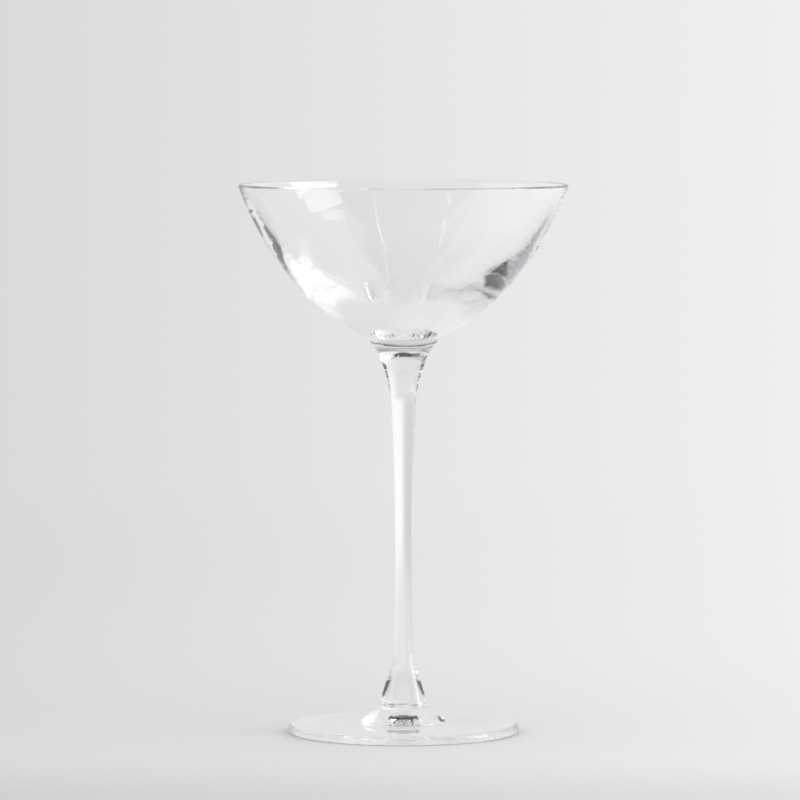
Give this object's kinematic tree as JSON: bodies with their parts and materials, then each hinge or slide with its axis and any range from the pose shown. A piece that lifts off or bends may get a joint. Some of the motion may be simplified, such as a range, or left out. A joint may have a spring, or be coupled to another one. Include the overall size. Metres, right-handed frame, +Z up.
{
  "type": "stemmed cocktail glass",
  "caption": "Clear stemmed cocktail glass: wide open bowl with a thin rounded lip and a heavy bottom, slim drawn stem flared at both ends, and a flat round foot with a raised hub.",
  "frame": {"origin": "on the table, under the middle of the foot", "axes": "+Z up along the stem's axis, towards the bowl's mouth; the glass is round, so X and Y are free"},
  "size_m": [0.099, 0.099, 0.165],
  "materials": {
    "clear_crystal": "colourless fire-polished crystal"
  },
  "bodies": {
    "root": {"bowl": "clear_crystal", "stem": "clear_crystal", "foot": "clear_crystal"}
  },
  "joints": []
}
